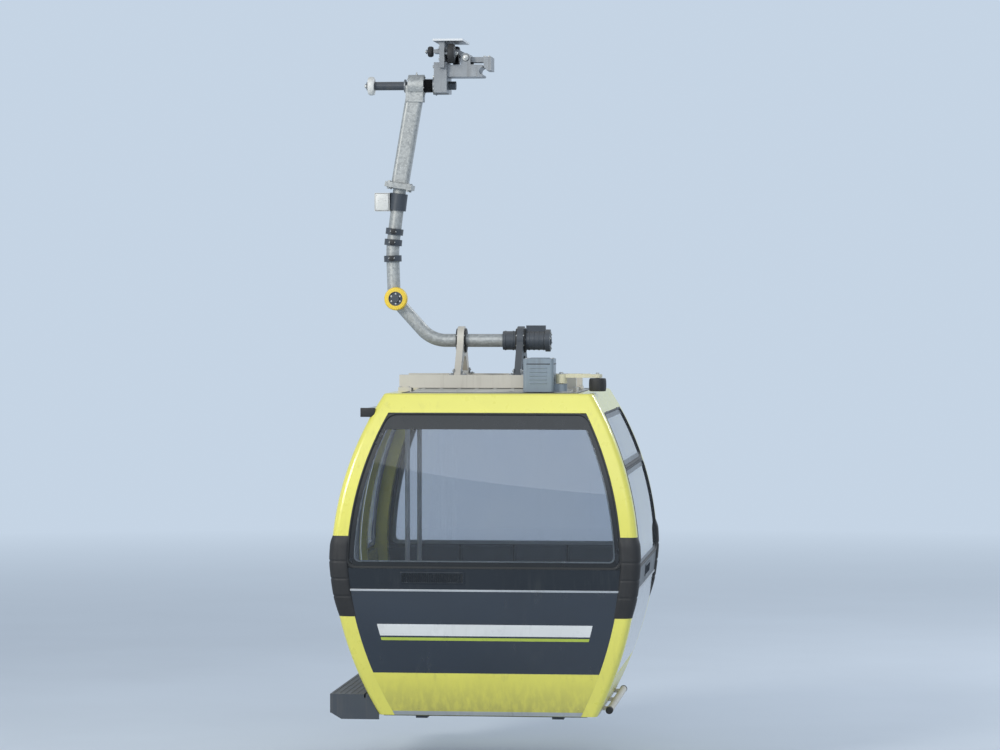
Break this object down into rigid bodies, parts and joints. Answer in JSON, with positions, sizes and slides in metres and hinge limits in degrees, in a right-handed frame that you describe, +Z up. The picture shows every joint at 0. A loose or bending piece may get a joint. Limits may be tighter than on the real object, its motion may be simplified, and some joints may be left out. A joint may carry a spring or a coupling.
{
  "type": "cable car cabin",
  "caption": "Ropeway cabin with barrel-shaped glazed walls, sliding doors, facing benches, a bent side hanger and a spring grip for the rope.",
  "frame": {"origin": "centre of the rope between the grip's jaws", "axes": "+Z up, +Y along the rope, downhill and away from the viewer, +X from the hanger's side towards the line's towers"},
  "size_m": [2.1475, 2.1576, 4.693],
  "materials": {
    "yellow_paint": "satin",
    "yellow_skirt": "satin",
    "dark_panel": "gloss",
    "belt_rail": "satin",
    "window": "tinted",
    "floor_metal": "ribbed",
    "roof_skin": "satin",
    "rubber": "matt",
    "bare_aluminium": "brushed",
    "dark_steel": "satin",
    "pale_frame": "satin",
    "seat_shell": "smooth",
    "bench_frame": "satin",
    "drive_case": "satin",
    "pale_lever": "satin",
    "hanger_grey": "galvanised",
    "yellow_roller": "smooth",
    "white_plastic": "smooth",
    "grip_steel": "zinc",
    "spring_steel": "dark"
  },
  "bodies": {
    "grip": {"grip_body": "grip_steel", "friction_plate": "bare_aluminium", "hanger_pin": "dark_steel", "clamp_pin": "dark_steel", "clamp_springs": "spring_steel"},
    "carrier": {"corner_posts": "yellow_paint", "roof_rim": "yellow_paint", "door_portal": "yellow_paint", "skirts": "yellow_skirt", "end_panels": "dark_panel", "tower_side_panel": "dark_panel", "quarter_panels": "dark_panel", "belt_rails": "belt_rail", "end_windows": "window", "tower_side_window": "window", "vent_window": "window", "quarter_windows": "window", "floor_pan": "floor_metal", "roof_panel": "roof_skin", "corner_bumpers": "rubber", "rubber_bushes": "rubber", "door_track": "bare_aluminium", "grab_poles": "bare_aluminium", "door_step": "dark_steel", "underframe": "dark_steel", "damper": "dark_steel", "hanger_bracket_inner": "dark_steel", "hanger_collars": "dark_steel", "elbow_pin": "dark_steel", "roof_frame": "pale_frame", "hanger_bracket_outer": "pale_frame", "guide_rail": "pale_frame", "seats_uphill": "seat_shell", "seats_downhill": "seat_shell", "bench_uphill": "bench_frame", "bench_downhill": "bench_frame", "door_drive": "drive_case", "hanger_upper": "hanger_grey", "hanger_lower": "hanger_grey", "hanger_box": "white_plastic"},
    "guide_roller": {"guide_roller": "white_plastic"},
    "clamp_lever": {"clamp_lever": "grip_steel"},
    "pusher_roller": {"pusher_roller": "rubber"},
    "running_wheel_uphill": {"running_wheel_uphill": "rubber"},
    "running_wheel_downhill": {"running_wheel_downhill": "rubber"},
    "elbow_roller": {"elbow_roller": "yellow_roller"},
    "door_uphill": {"door_leaf_uphill": "yellow_paint", "door_glass_uphill": "window", "door_panel_uphill": "dark_panel"},
    "door_downhill": {"door_leaf_downhill": "yellow_paint", "door_glass_downhill": "window", "door_panel_downhill": "dark_panel"},
    "door_lever": {"door_lever": "pale_lever"},
    "door_roller": {"door_roller": "rubber"}
  },
  "joints": [
    {"name": "carrier_swing", "type": "hinge", "parent": "grip", "child": "carrier", "pos_m": [-0.4, 0, -0.096], "axis": [1, 0, 0], "range_deg": [-35, 35]},
    {"name": "guide_roller_spin", "type": "hinge", "parent": "grip", "child": "guide_roller", "pos_m": [-0.8, 0, -0.096], "axis": [1, 0, 0], "continuous": true},
    {"name": "clamp_open", "type": "hinge", "parent": "grip", "child": "clamp_lever", "pos_m": [-0.12, 0, 0.092], "axis": [0, -1, 0], "range_deg": [0, 12], "stiffness_Nm_per_rad": 2000, "springref_deg": -11.46, "deforming": ["clamp_springs"]},
    {"name": "pusher_spin", "type": "hinge", "parent": "clamp_lever", "child": "pusher_roller", "pos_m": [-0.382, 0, 0.143], "axis": [1, 0, 0], "continuous": true},
    {"name": "wheel_uphill_spin", "type": "hinge", "parent": "grip", "child": "running_wheel_uphill", "pos_m": [-0.215, -0.15, 0.12], "axis": [1, 0, 0], "continuous": true},
    {"name": "wheel_downhill_spin", "type": "hinge", "parent": "grip", "child": "running_wheel_downhill", "pos_m": [-0.215, 0.15, 0.12], "axis": [1, 0, 0], "continuous": true},
    {"name": "elbow_roller_spin", "type": "hinge", "parent": "carrier", "child": "elbow_roller", "pos_m": [-0.616, -0.084, -1.594], "axis": [0, 1, 0], "continuous": true},
    {"name": "door_downhill_slide", "type": "slide", "parent": "carrier", "child": "door_downhill", "axis": [0, 1, 0], "range_m": [0, 0.4]},
    {"name": "door_uphill_slide", "type": "slide", "parent": "carrier", "child": "door_uphill", "axis": [0, -1, 0], "range_m": [0, 0.4]},
    {"name": "door_lever_swing", "type": "hinge", "parent": "carrier", "child": "door_lever", "pos_m": [0.59, -0.53, -2.14], "axis": [0, 0, -1], "range_deg": [0, 52]},
    {"name": "door_roller_spin", "type": "hinge", "parent": "door_lever", "child": "door_roller", "pos_m": [0.84, -0.53, -2.184], "axis": [0, 0, 1], "continuous": true}
  ],
  "couplings": [
    {"joint": "door_uphill_slide", "follows": "door_downhill_slide", "ratio": 1},
    {"joint": "door_lever_swing", "follows": "door_downhill_slide", "rad_per_m": 2.25}
  ]
}
